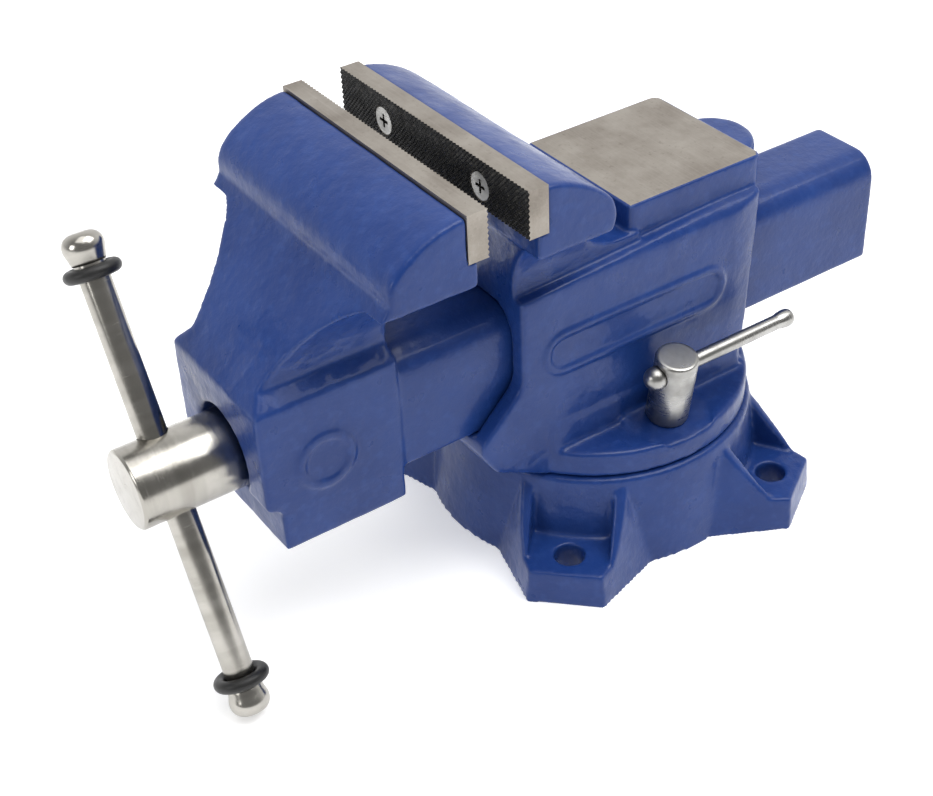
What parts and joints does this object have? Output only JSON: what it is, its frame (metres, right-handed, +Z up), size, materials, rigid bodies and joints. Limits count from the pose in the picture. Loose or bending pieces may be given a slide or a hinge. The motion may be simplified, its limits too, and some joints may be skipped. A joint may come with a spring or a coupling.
{
  "type": "bench vise",
  "caption": "Swivel-base bench vise with a blue cast body, flared jaws with serrated steel plates, a small anvil, a screw with a sliding handle bar, and swivel lock nuts with levers",
  "frame": {"origin": "centre of the swivel base's underside, on the swivel axis, at the bench", "axes": "+Z up along the swivel axis; -Y along the slide towards the screw handle; +X along the jaws, on the right when looking along +Y from the handle end"},
  "size_m": [0.1822, 0.353, 0.1977],
  "materials": {
    "casting_paint": "gloss enamel over cast iron",
    "bright_steel": "turned and polished",
    "machined_steel": "milled and ground",
    "plated_steel": "zinc plated",
    "black_steel": "oil blackened",
    "rubber": "plain moulded"
  },
  "bodies": {
    "base": {"swivel_base": "casting_paint"},
    "vise_body": {"static_body": "casting_paint", "rear_jaw_plate": "machined_steel", "rear_jaw_screws": "black_steel", "spindle_nut": "machined_steel", "spindle_nut_bolt": "plated_steel", "lock_bolt_right": "plated_steel", "lock_bolt_left": "plated_steel"},
    "moving_jaw_body": {"moving_jaw": "casting_paint", "front_jaw_plate": "machined_steel", "front_jaw_screws": "black_steel", "thrust_washer": "machined_steel", "retainer_washer": "machined_steel"},
    "screw": {"spindle": "bright_steel", "retainer_spring": "black_steel", "retainer_collar": "machined_steel", "retainer_pin": "machined_steel"},
    "handle": {"handle_bar": "bright_steel", "handle_knob_upper": "bright_steel", "handle_knob_lower": "bright_steel", "handle_ring_upper": "rubber", "handle_ring_lower": "rubber"},
    "lock_nut_right_body": {"lock_nut_right": "plated_steel"},
    "lock_nut_left_body": {"lock_nut_left": "plated_steel"},
    "lock_lever_right_body": {"lock_lever_right": "plated_steel", "lock_lever_ball_right": "plated_steel"},
    "lock_lever_left_body": {"lock_lever_left": "plated_steel", "lock_lever_ball_left": "plated_steel"}
  },
  "joints": [
    {"name": "swivel", "type": "hinge", "parent": "base", "child": "vise_body", "pos_m": [0, 0, 0.045], "axis": [0, 0, 1], "continuous": true},
    {"name": "jaw_slide", "type": "slide", "parent": "vise_body", "child": "moving_jaw_body", "axis": [0, -1, 0], "range_m": [-0.0166, 0.11]},
    {"name": "screw_turn", "type": "hinge", "parent": "moving_jaw_body", "child": "screw", "pos_m": [0, -0.2029, 0.0926], "axis": [0, -1, 0], "range_deg": [-1001, 6605]},
    {"name": "handle_slide", "type": "slide", "parent": "screw", "child": "handle", "axis": [-0.4587, 0, 0.8886], "range_m": [-0.061, 0.066]},
    {"name": "lock_nut_right_turn", "type": "hinge", "parent": "vise_body", "child": "lock_nut_right_body", "pos_m": [0.0515, 0, 0.0576], "axis": [0.165, 0, 0.9863], "range_deg": [-52, 0]},
    {"name": "lock_nut_left_turn", "type": "hinge", "parent": "vise_body", "child": "lock_nut_left_body", "pos_m": [-0.0515, 0, 0.0576], "axis": [0.165, 0, -0.9863], "range_deg": [-52, 0]},
    {"name": "lock_lever_right_slide", "type": "slide", "parent": "lock_nut_right_body", "child": "lock_lever_right_body", "axis": [0, -1, 0], "range_m": [0, 0.044]},
    {"name": "lock_lever_left_slide", "type": "slide", "parent": "lock_nut_left_body", "child": "lock_lever_left_body", "axis": [0, -1, 0], "range_m": [0, 0.044]}
  ],
  "couplings": [
    {"joint": "screw_turn", "follows": "jaw_slide", "rad_per_m": 1047.2}
  ]
}
